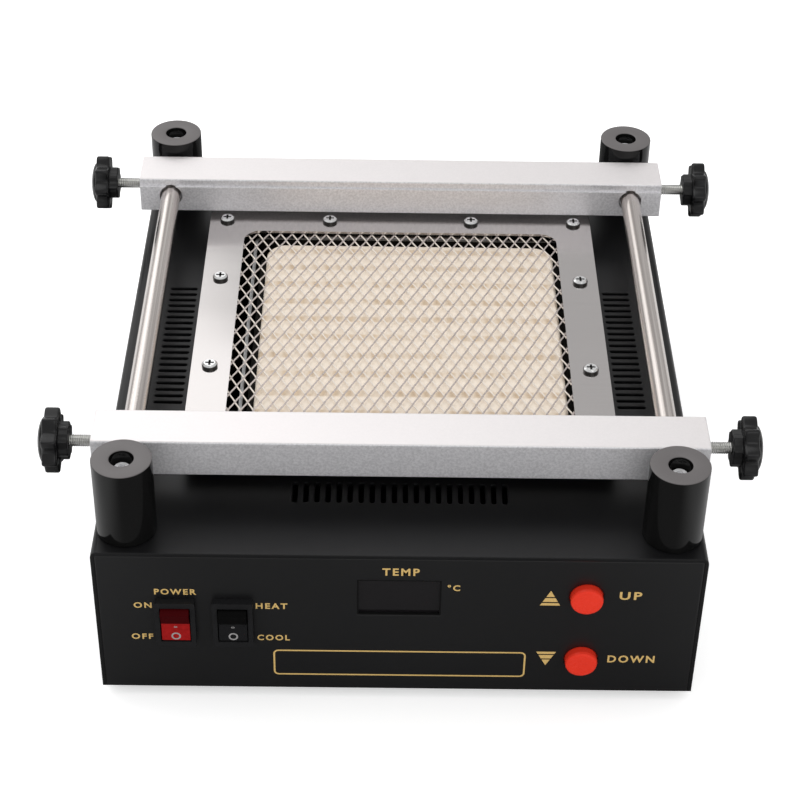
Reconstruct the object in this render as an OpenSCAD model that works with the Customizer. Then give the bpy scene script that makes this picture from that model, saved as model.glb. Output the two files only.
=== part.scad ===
// PCB preheater: a sheet-steel case with a ceramic heater under a guard mesh, and two
// clamp bars that slide on guide rods above it to hold a circuit board by its edges.
// Millimetres. The origin is on the resting surface, under the middle of the case.
// X runs to the right, the control panel faces -Y, Z is up.

/* [Case] */
// Width over the sides of the top cover
body_w = 222.5; // [216:0.5:232]
// Depth from the control panel to the rear wall
body_d = 253.4; // [250:0.2:266]
// Height of the case, without the feet
body_h = 67; // [66:0.5:76]
// Height of the rubber feet
foot_h = 5; // [4.5:0.5:9]
// Sheet thickness of the top cover
cover_t = 1.5; // [1.2:0.1:1.8]
// Sheet thickness of the base pan
pan_t = 1.2; // [1:0.1:1.4]
// Bend radius of the cover's long edges, outside
bend_r = 2.4; // [2:0.2:3]

/* [Board holder] */
// Diameter of the corner posts
post_d = 21.9; // [20.5:0.1:22.5]
// Height of the corner posts
post_h = 32.7; // [31.5:0.1:36]
// Diameter of the guide rods
rod_d = 8; // [7:0.1:8.4]
// Depth of a clamp bar, across its length
bar_depth = 20; // [18:0.5:20]
// Height of a clamp bar
bar_h = 15.4; // [14:0.2:16]
// Width of the ledge that a board's edge rests on
ledge_w = 1; // [0.8:0.1:2.4]
// Depth of the ledge below the bar's top
ledge_drop = 3.3; // [2.5:0.1:3.6]
// Diameter of the clamping knobs
knob_d = 24.3; // [21:0.1:26]
// Lobes on each clamping knob
knob_lobes = 8; // [6:1:10]

/* [Heater] */
// Height of the collar that carries the bezel plate above the cover
collar_h = 8.6; // [8:0.1:9.4]
// Side of the window in the bezel plate
window_w = 133.6; // [120:0.2:140]
// Width of the bezel plate around its window
plate_border = 15.4; // [14.4:0.1:17]
// Gap between the ceramic heater and the edge of the window, on average
heater_gap = 6.05; // [5.4:0.05:8]
// Width of one opening of the expanded mesh, strand to strand
mesh_short = 4.9; // [4.5:0.1:8]
// Length of one opening of the expanded mesh, bond to bond
mesh_long = 10.3; // [10:0.1:16]
// Width of a strand of the mesh
mesh_strand = 1.1; // [0.9:0.05:1.4]

/* [Vents] */
// Slots in each row on the cover
slot_count = 20; // [12:1:20]
// Length of a vent slot
slot_len = 11.4; // [9:0.1:11.6]
// Width of a vent slot
slot_w = 1.9; // [1.4:0.1:2.2]
// Distance from slot to slot
slot_pitch = 4.1; // [3.4:0.1:4.2]

/* [Control panel] */
// Diameter of the push buttons
button_d = 12; // [10.5:0.1:13]
// How far the push buttons stand out of the panel
button_out = 3.4; // [2.5:0.1:4]
// Width of the display cut-out
display_w = 30.6; // [27:0.1:32]
// Height of the display cut-out
display_h = 17.3; // [15:0.1:17.6]
// Width of a rocker switch bezel
switch_w = 14.8; // [14.4:0.1:16]
// Height of a rocker switch bezel
switch_h = 21.6; // [20.6:0.1:22.4]

/* [Hidden] */
$fn = 64;
eps = 0.4;
// Levels of the case
floor_z = foot_h + pan_t;
top_z = foot_h + body_h;
under_z = top_z - cover_t;
half_w = body_w / 2;
half_d = body_d / 2;
pan_half = half_w - cover_t;
front_y = -half_d;
front_in = front_y + pan_t;
rear_in = half_d - pan_t;
// Screw sizes: shank radius, clearance, pan head and nut
m4 = 2;
m3 = 1.5;
clear = 0.25;
m4_head_r = 3.8;
m4_head_h = 2.4;
m4_nut_r = 4.04;
m4_nut_h = 3.2;
m3_head_r = 2.8;
m3_head_h = 1.8;
m3_nut_r = 3.1;
m3_nut_h = 2.4;
// Heater and bezel plate around the window
plate_w = window_w + 2 * plate_border;
heater_w = window_w - 2 * heater_gap;
// Mesh, bezel plate and the low heads of its screws, which the bars pass over
mesh_t = 1;
plate_t = 1;
bezel_head_h = 1.8;
bezel_head_r = 3.1;
// Corner posts, rods and bars
post_x = half_w - 12.15;
post_y = half_d - 13.75;
post_top = top_z + post_h;
sink_r = 4.35;
sink_h = 7;
bar_low = top_z + collar_h + mesh_t + plate_t + bezel_head_h + 0.5;
rod_z = bar_low + bar_h / 2;
rod_fit = 0.05;
rod_in = 6.4;
rod_end = post_y - post_d / 2 + rod_in;
bar_half = half_w + 1.05;
bar_y = half_d - 37.5;
bar_shift = 1;
bar_sink_r = rod_d / 2 + 0.8;
bar_sink_h = 3.5;
stud_r = 2.45;
stud_fit = 0.05;
stud_in = post_x + rod_d / 2 + rod_fit + 0.5;
knob_front = bar_half + 8.9;
knob_rear = bar_half + 10.2;
stud_long = knob_front - stud_in;
knob_hub_r = 7.1;
knob_hub_h = 3.6;
knob_rim_h = 5.6;
knob_crown = 2.4;
knob_scallop = 2.6;
// Heater stack: collar on the cover, mesh and plate on the collar, tray hung inside it
heat_y = 2;
mesh_z = top_z + collar_h;
plate_z = mesh_z + mesh_t;
collar_t = 1.2;
collar_half = plate_w / 2 - 0.8;
hang_z = mesh_z - collar_t;
hole_w = window_w + 12.4;
window_r = 7;
slot_x = hole_w / 2 + 17.95;
slot_y = hole_w / 2 + 18.8;
screw_edge = plate_w / 2 - 7.3;
screw_mid = 30.5;
core_x = 4.1;
core_y = heat_y + 0.6;
heater_h = 10;
heater_top = mesh_z - 1;
heater_low = heater_top - heater_h;
heater_r = 8;
pad_h = 14;
tray_t = 1.3;
tray_half = heater_w / 2 + 4.5;
tray_low = heater_low - pad_h - tray_t;
tray_top = mesh_z - 1.5;
lead_x = 14;
probe_x = 34;
bracket_t = 1.2;
bracket_w = 80;
bracket_drop = 18;
bezel_long = 8.4;
lead_y = core_y - 45;
lead_r = 1.6;
block_w = 46;
block_d = 16;
block_h = 9;
probe_r = 1.5;
// Fan on the floor below the heater
fan_w = 80;
fan_h = 25;
fan_x = core_x;
fan_y = core_y + 4;
fan_hole = 35.75;
fan_bore_r = 38;
fan_hub_r = 17;
fan_cup_h = 4;
// Board behind the control panel
board_gap = 12.5;
board_t = 1.6;
board_y = front_in + board_gap;
board_x0 = -half_w + 71.25;
board_x1 = half_w - 17.25;
board_z0 = floor_z + 6;
board_z1 = under_z - 5;
display_z = top_z - 20.3;
button_x = half_w - 42.95;
button_up_z = top_z - 18.9;
button_down_z = top_z - 50.5;
button_skirt = 1.6;
button_gap = 0.8;
tact_h = 5.5;
tact_w = 12;
display_block_w = 35;
display_block_h = 20;
triac_w = 10.2;
triac_t = 4.5;
// Heatsink on the back of the board
sink_w = 36;
sink_t = 3;
sink_long = 36;
fin_t = 1.8;
fin_deep = 18;
fins = 7;
sink_x = board_x1 - 69;
// Transformer on the floor, in front of the heater
transformer_x = -half_w + 37.25;
transformer_y = -half_d + 54.7;
core_w = 38;
core_d = 16;
core_h = 32;
core_slot_w = 7.2;
ear_t = 1;
coil_w = 25.6;
coil_d = 29;
coil_h = 18;
ear_x = 24;
ear_y = 10;
// Rocker switches
power_x = -half_w + 29.35;
mode_x = power_x + 21.05;
switch_z = top_z - 32.7;
switch_lip = 2.8;
tab_w = 4.8;
tab_t = 0.8;
tab_long = 8;
switch_deep = 19;
switch_body_w = 13;
switch_body_h = 19;
rock_w = 10.4;
rock_r = 8.1;
rock_out = 3.6;
rock_tilt = 10;
rock_y = front_y - 0.2;
// Mains inlet on the rear wall
inlet_x = -half_w + 49.25;
inlet_z = floor_z + 26;
inlet_lip = 3.2;
inlet_w = 50;
inlet_h = 24;
inlet_body_w = 27.2;
inlet_body_h = 20;
inlet_screw_x = 20;
inlet_deep = 20;
blade_w = 2;
blade_h = 4;
blade_long = 26;
blades = [[-7, -2], [7, -2], [0, 2]];

black_paint = [0.05, 0.05, 0.055];
steel = [0.78, 0.79, 0.80];
alloy = [0.74, 0.75, 0.76];
plastic = [0.03, 0.03, 0.03];

// Where a bar rests along Y, and where the hub of its knobs starts, out along X
function bar_at(sy) = sy * bar_y + bar_shift;
function knob_at(sy) = sy > 0 ? knob_rear : knob_front;

// Flat rounded rectangle, centred
module rounded(w, d, r) {
    square([w - 2 * r, d], center = true);
    square([w, d - 2 * r], center = true);
    for (x = [-1, 1], y = [-1, 1])
        translate([x * (w / 2 - r), y * (d / 2 - r)]) circle(r);
}

// Block with rounded upright edges, standing on z = 0
module slab(w, d, h, r) {
    linear_extrude(height = h) rounded(w, d, r);
}

// Pan-head screw pointing down, with the underside of its head on z = 0
module screw(r, head_r, head_h, length) {
    rotate_extrude()
        polygon([[0, -length], [r - 0.3, -length], [r, -length + 0.3], [r, 0], [head_r, 0],
                 [head_r, head_h * 0.55], [head_r * 0.72, head_h], [0, head_h]]);
}

// Cross recess of a pan-head screw, cut from a head whose underside is on z = 0
module recess(head_h) {
    for (a = [0, 90])
        rotate(a) translate([-1.7, -0.45, head_h - 1]) cube([3.4, 0.9, 2]);
}

module cross_screw(r, head_r, head_h, length) {
    difference() {
        screw(r, head_r, head_h, length);
        recess(head_h);
    }
}

// Hexagon nut standing on z = 0
module nut(r, shank, h) {
    difference() {
        cylinder(r = r, h = h, $fn = 6);
        translate([0, 0, -1]) cylinder(r = shank + 0.05, h = h + 2);
    }
}

// One vent slot along X, centred
module slot() {
    square([slot_len - slot_w, slot_w], center = true);
    for (x = [-1, 1]) translate([x * (slot_len - slot_w) / 2, 0]) circle(slot_w / 2);
}

module slot_row() {
    for (i = [0 : slot_count - 1]) translate([0, (i - (slot_count - 1) / 2) * slot_pitch]) slot();
}

// Places of the twelve screws around the bezel plate
module bezel_places() {
    for (s = [-1, 1], t = [-1, 1]) {
        translate([s * screw_edge, heat_y + t * screw_edge]) children();
        translate([s * screw_mid, heat_y + t * screw_edge]) children();
        translate([s * screw_edge, heat_y + t * screw_mid]) children();
    }
}

module post_places() {
    for (x = [-1, 1], y = [-1, 1]) translate([x * post_x, y * post_y]) children();
}

module foot_places() {
    for (x = [-1, 1], y = [-1, 1]) translate([x * (half_w - 19), y * (half_d - 18)]) children();
}

module fan_places() {
    for (x = [-1, 1], y = [-1, 1]) translate([fan_x + x * fan_hole, fan_y + y * fan_hole]) children();
}

module side_places() {
    for (s = [-1, 1], y = [-90, 0, 90])
        translate([s * half_w, y, floor_z + 8]) rotate([0, s * 90, 0]) children();
}

module board_places() {
    for (x = [board_x0 + 5, board_x1 - 5], z = [board_z0 + 5, board_z1 - 5])
        translate([x, 0, z]) rotate([90, 0, 0]) children();
}

// Floor with the front and rear walls folded up from it, and low side flanges for the cover screws
module base_pan() {
    wall_h = under_z - foot_h;
    color(black_paint) difference() {
        union() {
            translate([-pan_half, -half_d, foot_h]) cube([2 * pan_half, body_d, pan_t]);
            for (y = [-half_d, rear_in])
                translate([-pan_half + 0.1, y, foot_h]) cube([2 * pan_half - 0.2, pan_t, wall_h]);
            for (y = [-half_d, half_d - 7])
                translate([-pan_half + 4, y, under_z - pan_t]) cube([2 * pan_half - 8, 7, pan_t]);
            for (x = [-pan_half, pan_half - pan_t])
                translate([x, -half_d + 8, foot_h]) cube([pan_t, body_d - 16, pan_t + 16]);
        }
        foot_places() cylinder(r = m4 + clear, h = 40, center = true);
        fan_places() cylinder(r = m4 + clear, h = 40, center = true);
        for (i = [-4 : 4])
            translate([fan_x - sqrt(36 * 36 - 49 * i * i), fan_y + 7 * i - 1.5, 0])
                cube([2 * sqrt(36 * 36 - 49 * i * i), 3, 20]);
        side_places() cylinder(r = m3 + clear, h = 40, center = true);
        for (x = [power_x, mode_x])
            translate([x, front_y, switch_z])
                cube([switch_body_w + eps, 10, switch_body_h + eps], center = true);
        translate([0, front_y, display_z]) cube([display_w, 10, display_h], center = true);
        for (z = [button_up_z, button_down_z])
            translate([button_x, front_y, z]) rotate([90, 0, 0])
                cylinder(d = button_d + 0.7, h = 10, center = true);
        translate([inlet_x, half_d, inlet_z])
            cube([inlet_body_w + 2 * eps, 10, inlet_body_h + 2 * eps], center = true);
        for (x = [-1, 1] * inlet_screw_x)
            translate([inlet_x + x, half_d, inlet_z]) rotate([90, 0, 0])
                cylinder(r = m3 + clear, h = 10, center = true);
        for (x = [-1, 1], y = [-1, 1])
            translate([transformer_x + x * ear_x, transformer_y + y * ear_y, 0])
                cylinder(r = m3 + clear, h = 40);
    }
}

// Top and two sides in one bent sheet, with the heater hole and four rows of vent slots
module top_cover() {
    color(black_paint) difference() {
        rotate([90, 0, 0]) linear_extrude(height = body_d, center = true) difference() {
            union() {
                translate([-half_w, foot_h]) square([body_w, body_h - bend_r]);
                translate([-half_w + bend_r, foot_h]) square([body_w - 2 * bend_r, body_h]);
                for (s = [-1, 1]) translate([s * (half_w - bend_r), top_z - bend_r]) circle(bend_r);
            }
            translate([-half_w + cover_t, -1]) square([body_w - 2 * cover_t, under_z + 1]);
        }
        translate([0, heat_y, under_z - 1]) slab(hole_w, hole_w, 5, 6);
        translate([0, 0, under_z - 1]) linear_extrude(height = 5) {
            for (s = [-1, 1]) translate([s * slot_x, 0.6]) slot_row();
            for (s = [-1, 1]) translate([0, s * slot_y]) rotate(90) slot_row();
        }
        post_places() cylinder(r = m4 + clear, h = 200, center = true);
        side_places() cylinder(r = m3 + clear, h = 30, center = true);
    }
}

// Three screws on each side that hold the cover to the pan's flanges
module cover_screws() {
    color(steel) side_places() cross_screw(m3, m3_head_r, m3_head_h, cover_t + pan_t + 4.3);
}

// Rubber foot with a sunk hole for its screw
module foot(sx, sy) {
    color([0.06, 0.06, 0.06]) translate([sx * (half_w - 19), sy * (half_d - 18), 0]) rotate_extrude()
        polygon([[m4 + clear, foot_h - 2], [m4 + clear, foot_h], [10, foot_h], [9.6, 1], [8.8, 0],
                 [4.6, 0], [4.6, foot_h - 2]]);
}

module foot_screws() {
    color(steel) foot_places() {
        translate([0, 0, foot_h - 2]) rotate([180, 0, 0]) cross_screw(m4, m4_head_r, 2, 10);
        translate([0, 0, floor_z]) nut(m4_nut_r, m4, m4_nut_h);
    }
}

// Corner post: sunk screw hole from the top, blind hole for the rod on its inner side
module post(sx, sy) {
    color(plastic) difference() {
        translate([sx * post_x, sy * post_y, top_z]) rotate_extrude()
            polygon([[m4 + clear, 0], [post_d / 2, 0], [post_d / 2, post_h - 0.4], [post_d / 2 - 0.4, post_h],
                     [sink_r, post_h], [sink_r, post_h - sink_h], [m4 + clear, post_h - sink_h]]);
        translate([sx * post_x, sy * (rod_end + 0.1), rod_z]) rotate([sy * 90, 0, 0])
            cylinder(r = rod_d / 2 + rod_fit, h = post_d);
    }
}

module post_screws() {
    color(steel) post_places() {
        translate([0, 0, post_top - sink_h]) difference() {
            screw(m4, m4_head_r, 3, post_h - sink_h + cover_t + 5);
            translate([0, 0, 1.4]) cylinder(r = 1.7, h = 3, $fn = 6);
        }
        translate([0, 0, under_z - m4_nut_h]) nut(m4_nut_r, m4, m4_nut_h);
    }
}

// Ground steel rod, chamfered, with its ends held in a front and a rear post
module guide_rod(sx) {
    color([0.82, 0.83, 0.85]) translate([sx * post_x, 0, rod_z]) rotate([90, 0, 0]) rotate_extrude()
        polygon([[0, -rod_end], [rod_d / 2 - 0.6, -rod_end], [rod_d / 2, -rod_end + 0.6],
                 [rod_d / 2, rod_end - 0.6], [rod_d / 2 - 0.6, rod_end], [0, rod_end]]);
}

// Clamp bar with a ledge along its inner top edge, two rod bores, wider at both mouths,
// and a tapped hole in each end
module clamp_bar(sy) {
    h = bar_h / 2;
    d = bar_depth / 2;
    c = 0.5;
    color(alloy) difference() {
        translate([0, bar_at(sy), rod_z]) scale([1, -sy, 1]) rotate([90, 0, 90])
            linear_extrude(height = 2 * bar_half, center = true)
                polygon([[-d + c, -h], [d - c, -h], [d, -h + c], [d, h - ledge_drop],
                         [d - ledge_w, h - ledge_drop], [d - ledge_w, h - c], [d - ledge_w - c, h],
                         [-d + c, h], [-d, h - c], [-d, -h + c]]);
        for (sx = [-1, 1]) {
            translate([sx * post_x, bar_at(sy), rod_z]) rotate([90, 0, 0]) {
                cylinder(r = rod_d / 2 + rod_fit, h = bar_depth + 4, center = true);
                for (e = [-1, 1]) translate([0, 0, e * d])
                    cylinder(r = bar_sink_r, h = 2 * bar_sink_h, center = true);
            }
            translate([sx * post_x, bar_at(sy), rod_z]) rotate([0, sx * 90, 0])
                cylinder(r = stud_r + stud_fit, h = bar_half);
        }
    }
}

// Threaded stud moulded into a knob; its point stops just short of the rod
module stud(sx, sy) {
    start = knob_at(sy) - stud_long;
    color(steel) translate([sx * start, bar_at(sy), rod_z]) rotate([0, sx * 90, 0]) rotate_extrude()
        polygon([[0, 0], [stud_r - 0.8, 0], [stud_r, 0.8], [stud_r, stud_long], [0, stud_long]]);
}

// Lobed knob: a hub toward the bar and a rim with scallops between rounded lobes
module knob(sx, sy) {
    r = knob_d / 2;
    z = knob_hub_h;
    t = knob_hub_h + knob_rim_h;
    scallop = r * sin(180 / knob_lobes) * 0.69;
    c = r - 3.4;
    color(plastic) translate([sx * knob_at(sy), bar_at(sy), rod_z]) rotate([0, sx * 90, 0]) difference() {
        rotate_extrude()
            polygon([[0, 0], [knob_hub_r - 0.5, 0], [knob_hub_r, 0.5], [knob_hub_r, z], [r - 0.9, z],
                     [r - 0.3, z + 0.3], [r, z + 0.9], [r, t - 0.9], [r - 0.3, t - 0.3], [r - 0.9, t], [c, t],
                     [c * 0.86, t + knob_crown * 0.45], [c * 0.62, t + knob_crown * 0.78],
                     [c * 0.32, t + knob_crown * 0.95], [0, t + knob_crown]]);
        for (i = [0 : knob_lobes - 1])
            rotate((i + 0.5) * 360 / knob_lobes) translate([r - knob_scallop + scallop, 0, z - 1])
                cylinder(r = scallop, h = t);
    }
}

// Channel-section collar on the cover: its top flange carries the mesh, the plate and the tray
module heater_collar() {
    color([0.30, 0.30, 0.31]) difference() {
        translate([0, heat_y, top_z]) slab(2 * collar_half, 2 * collar_half, collar_h, 2);
        translate([0, heat_y, top_z + collar_t])
            slab(2 * (collar_half - collar_t), 2 * (collar_half - collar_t), collar_h - 2 * collar_t, 1);
        translate([0, heat_y, top_z - 1]) slab(hole_w + 3, hole_w + 3, 1 + 2 * collar_t, 4);
        translate([0, heat_y, top_z + collar_t]) slab(window_w + 6.4, window_w + 6.4, 50, 4);
        bezel_places() cylinder(r = m3 + clear, h = 300, center = true);
    }
}

// Stainless plate with a rounded window, screwed down over the guard mesh
module bezel_plate() {
    color([0.80, 0.80, 0.79]) difference() {
        translate([0, heat_y, plate_z]) slab(plate_w, plate_w, plate_t, 2);
        translate([0, heat_y, plate_z - plate_t]) slab(window_w, window_w, 3 * plate_t, window_r);
        bezel_places() cylinder(r = m3 + clear, h = 300, center = true);
    }
}

// Expanded mesh: diamond openings in staggered rows, inside a plain margin that the plate covers
module guard_mesh() {
    a = mesh_short / 2;
    b = mesh_long / 2;
    inset = 1 - mesh_strand / 2 * sqrt(a * a + b * b) / (a * b);
    nx = ceil(window_w / mesh_short / 2) + 1;
    ny = ceil(window_w / mesh_long / 2) + 1;
    limit_x = plate_w / 2 - 12.5;
    limit_y = plate_w / 2 - 14;
    color([0.72, 0.73, 0.74]) translate([0, heat_y, mesh_z]) linear_extrude(height = mesh_t) difference() {
        rounded(plate_w - 2, plate_w - 2, 2);
        for (i = [-2 * nx : 2 * nx], j = [-2 * ny : 2 * ny])
            if ((i + j) % 2 == 0 && abs(i * a) < limit_x - a && abs(j * b) < limit_y - b)
                translate([i * a, j * b])
                    polygon([[-a * inset, 0], [0, -b * inset], [a * inset, 0], [0, b * inset]]);
        translate([0, -heat_y]) bezel_places() circle(m3 + clear);
    }
}

// Twelve screws through plate, mesh and collar, each with a nut below
module bezel_screws() {
    color(steel) {
        translate([0, 0, plate_z + plate_t]) bezel_places()
            cross_screw(m3, bezel_head_r, bezel_head_h, bezel_long);
        for (s = [-1, 1], t = [-1, 1]) {
            translate([s * screw_edge, heat_y + t * screw_edge, hang_z - m3_nut_h])
                nut(m3_nut_r, m3, m3_nut_h);
            translate([s * screw_edge, heat_y + t * screw_mid, hang_z - m3_nut_h])
                nut(m3_nut_r, m3, m3_nut_h);
            translate([s * screw_mid, heat_y + t * screw_edge, hang_z - bracket_t - m3_nut_h])
                nut(m3_nut_r, m3, m3_nut_h);
        }
    }
}

// Cream ceramic emitter with a cross-cut radiating face
module ceramic_heater() {
    pitch = heater_w / 20;
    color([0.95, 0.89, 0.78]) difference() {
        translate([core_x, core_y, heater_low]) slab(heater_w, heater_w, heater_h, heater_r);
        for (i = [-9 : 9]) {
            translate([core_x + i * pitch - 0.9, core_y - heater_w, heater_top - 1.2])
                cube([1.8, 2 * heater_w, 5]);
            translate([core_x - heater_w, core_y + i * pitch - 0.9, heater_top - 1.2])
                cube([2 * heater_w, 1.8, 5]);
        }
    }
}

// Fibre pad between the emitter and the tray
module insulation_pad() {
    color([0.90, 0.90, 0.86]) difference() {
        translate([core_x, core_y, heater_low - pad_h])
            slab(2 * tray_half - 2, 2 * tray_half - 2, pad_h, 3);
        for (s = [-1, 1]) translate([core_x + s * lead_x, lead_y, 0]) cylinder(r = 2.5, h = 200);
        translate([core_x + probe_x, lead_y, 0]) cylinder(r = 1.9, h = 200);
    }
}

// Open steel tray under the heater
module heater_tray() {
    color([0.70, 0.71, 0.72]) difference() {
        translate([core_x, core_y, tray_low])
            slab(2 * tray_half + 2 * tray_t, 2 * tray_half + 2 * tray_t, tray_top - tray_low, 4);
        translate([core_x, core_y, tray_low + tray_t]) slab(2 * tray_half, 2 * tray_half, 100, 3);
        for (s = [-1, 1]) translate([core_x + s * lead_x, lead_y, 0]) cylinder(r = 4.2, h = 200);
        translate([core_x + probe_x, lead_y, 0]) cylinder(r = 2.4, h = 200);
    }
}

// Angles that hang the tray from the middle screws of the plate's front and rear rows
module tray_brackets() {
    wall = tray_half + tray_t;
    color(steel) for (t = [-1, 1]) difference() {
        near = t * (core_y - heat_y) + wall;
        reach = screw_edge + 4.6;
        union() {
            translate([-bracket_w / 2, heat_y + (t > 0 ? near : -near - bracket_t), tray_top - bracket_drop])
                cube([bracket_w, bracket_t, hang_z - tray_top + bracket_drop]);
            translate([-bracket_w / 2, heat_y + (t > 0 ? near : -reach), hang_z - bracket_t])
                cube([bracket_w, reach - near, bracket_t]);
        }
        for (s = [-1, 1]) translate([s * screw_mid, heat_y + t * screw_edge, 0])
            cylinder(r = m3 + clear, h = 200);
    }
}

// Two lead pins from the emitter down to the terminal block
module heater_terminals() {
    color([0.72, 0.65, 0.40]) for (s = [-1, 1])
        translate([core_x + s * lead_x, lead_y, tray_low - 7]) {
            cylinder(r = lead_r, h = heater_low - tray_low + 7);
            translate([0, 0, 1]) cylinder(r = 3.2, h = 3, $fn = 6);
        }
}

// Ceramic terminal block under the tray, open below around the pins
module terminal_block() {
    color([0.93, 0.92, 0.88]) difference() {
        translate([core_x, lead_y, tray_low - block_h]) slab(block_w, block_d, block_h, 2);
        for (s = [-1, 1]) translate([core_x + s * lead_x, lead_y, tray_low - 20]) {
            cylinder(r = 4.2, h = 18);
            cylinder(r = lead_r + clear + 0.05, h = 40);
        }
    }
}

// Sheathed probe that rests against the underside of the emitter
module thermocouple() {
    color([0.66, 0.67, 0.68]) translate([core_x + probe_x, lead_y, tray_low]) rotate_extrude()
        polygon([[0, -12], [1.2, -12], [1.2, -6], [3.5, -6], [3.5, 0], [probe_r, 0],
                 [probe_r, heater_low - tray_low - 1], [0.9, heater_low - tray_low],
                 [0, heater_low - tray_low]]);
}

// Square fan frame with a round duct and a motor cup on four arms
module fan_frame() {
    color([0.09, 0.09, 0.09]) translate([fan_x, fan_y, floor_z]) difference() {
        union() {
            difference() {
                slab(fan_w, fan_w, fan_h, 5);
                translate([0, 0, -1]) cylinder(r = fan_bore_r, h = fan_h + 2);
            }
            cylinder(r = fan_hub_r, h = fan_cup_h);
            for (a = [45 : 90 : 315]) rotate(a) translate([fan_hub_r - 1, -2, 0])
                cube([fan_bore_r - fan_hub_r + 2, 4, 3]);
        }
        translate([0, 0, -1]) cylinder(r = 1.55, h = 20);
        for (x = [-1, 1], y = [-1, 1])
            translate([x * fan_hole, y * fan_hole, -1]) cylinder(r = m4 + clear, h = fan_h + 2);
    }
}

// Seven-bladed rotor on its shaft
module fan_rotor() {
    color([0.12, 0.12, 0.12]) translate([fan_x, fan_y, floor_z]) {
        translate([0, 0, 0.5]) cylinder(r = 1.5, h = fan_cup_h + 2);
        translate([0, 0, fan_cup_h + 0.7]) cylinder(r = fan_hub_r, h = 18.5);
        for (i = [0 : 6]) rotate(i * 360 / 7) translate([fan_hub_r + 9.6, 0, fan_h / 2 + 1.6])
            rotate([35, 0, 0]) cube([20.4, 1.3, 19.5], center = true);
    }
}

module fan_screws() {
    color(steel) translate([0, 0, foot_h]) fan_places() rotate([180, 0, 0])
        cross_screw(m4, m4_head_r, 2.2, 10);
}

// Control board, upright behind the panel
module control_board() {
    color([0.08, 0.32, 0.18]) difference() {
        translate([board_x0, board_y, board_z0]) cube([board_x1 - board_x0, board_t, board_z1 - board_z0]);
        board_places() cylinder(r = m3 + clear, h = 300, center = true);
    }
}

module board_standoffs() {
    color([0.80, 0.68, 0.35]) translate([0, board_y, 0]) board_places() difference() {
        cylinder(r = 3.2, h = board_gap, $fn = 6);
        translate([0, 0, -1]) cylinder(r = m3 + 0.05, h = 8);
    }
}

module board_screws() {
    color(steel) translate([0, board_y + board_t, 0]) board_places() rotate([180, 0, 0])
        cross_screw(m3, m3_head_r, m3_head_h, board_t + 5);
}

// Three-digit display block on the board
module display_module() {
    color([0.10, 0.10, 0.11]) translate([-display_block_w / 2, front_in + 2, display_z - display_block_h / 2])
        cube([display_block_w, board_gap - 2, display_block_h]);
}

// Smoked pane clipped behind the panel's cut-out
module display_window() {
    color([0.16, 0.03, 0.03]) translate([-display_w / 2 - 2, front_in, display_z - display_h / 2 - 2])
        cube([display_w + 4, 1.2, display_h + 4]);
}

// Two board-mounted key switches with round plungers
module tact_switches() {
    color([0.15, 0.15, 0.16]) for (z = [button_up_z, button_down_z]) translate([button_x, board_y, z]) {
        translate([-tact_w / 2, -3.5, -tact_w / 2]) cube([tact_w, 3.5, tact_w]);
        rotate([90, 0, 0]) cylinder(r = 3.3, h = tact_h);
    }
}

// Push button: round cap through the panel, with a skirt that keeps it from falling out
module push_button(z) {
    long = board_gap - tact_h - button_gap + pan_t + button_out;
    r = button_d / 2;
    s = button_out + pan_t + 0.4;
    color([0.85, 0.16, 0.10]) translate([button_x, front_y - button_out, z]) rotate([-90, 0, 0])
        rotate_extrude() polygon([[0, 0], [r - 1.1, 0], [r - 0.3, 0.35], [r, 1.1], [r, s], [r + 1.4, s],
                 [r + 1.4, s + button_skirt], [r - 1, s + button_skirt], [r - 1, long], [0, long]]);
}

// Power triac with its mounting tab flat against the heatsink
module triac() {
    color([0.12, 0.12, 0.12]) translate([sink_x + 13, board_y + board_t, board_z0 + 8]) {
        cube([triac_w, triac_t, 9.2]);
        translate([0, triac_t - 1.3, 0]) cube([triac_w, 1.3, 15.6]);
    }
}

// Finned heatsink behind the board
module heatsink() {
    base_y = board_y + board_t + triac_t;
    pitch = (sink_w - fin_t) / (fins - 1);
    color([0.62, 0.63, 0.65]) translate([sink_x, base_y, board_z0 + 4]) linear_extrude(height = sink_long) {
        square([sink_w, sink_t]);
        for (i = [0 : fins - 1]) translate([i * pitch, 0]) square([fin_t, fin_deep]);
    }
}

// Laminated core, a frame with a middle limb, on two mounting ears
module transformer_core() {
    w = core_w;
    h = core_h;
    d = core_d;
    slot_at = (coil_w - 12.4) / 4 + 6.3;
    color([0.42, 0.42, 0.44]) translate([transformer_x, transformer_y, floor_z]) {
        difference() {
            translate([-w / 2, -d / 2, ear_t]) cube([w, d, h]);
            for (s = [-1, 1]) translate([s * slot_at - core_slot_w / 2, -d, ear_t + 5.5])
                cube([core_slot_w, 2 * d, h - 11]);
        }
        difference() {
            translate([-ear_x - 5, -ear_y - 4, 0]) cube([2 * ear_x + 10, 2 * ear_y + 8, ear_t]);
            for (x = [-1, 1], y = [-1, 1]) translate([x * ear_x, y * ear_y, -1])
                cylinder(r = m3 + clear, h = 4);
        }
    }
}

// Screws up through the floor and the core's ears, with nuts
module transformer_screws() {
    color(steel) for (x = [-1, 1], y = [-1, 1])
        translate([transformer_x + x * ear_x, transformer_y + y * ear_y, foot_h]) {
            rotate([180, 0, 0]) cross_screw(m3, m3_head_r, m3_head_h, 7);
            translate([0, 0, pan_t + ear_t]) nut(m3_nut_r, m3, m3_nut_h);
        }
}

// Winding around the core's middle limb
module transformer_coil() {
    color([0.62, 0.34, 0.16]) translate([transformer_x, transformer_y, floor_z + 8])
        linear_extrude(height = coil_h) difference() {
            rounded(coil_w, coil_d, 3);
            rounded(12.4, core_d + 0.6, 0.4);
        }
}

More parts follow.
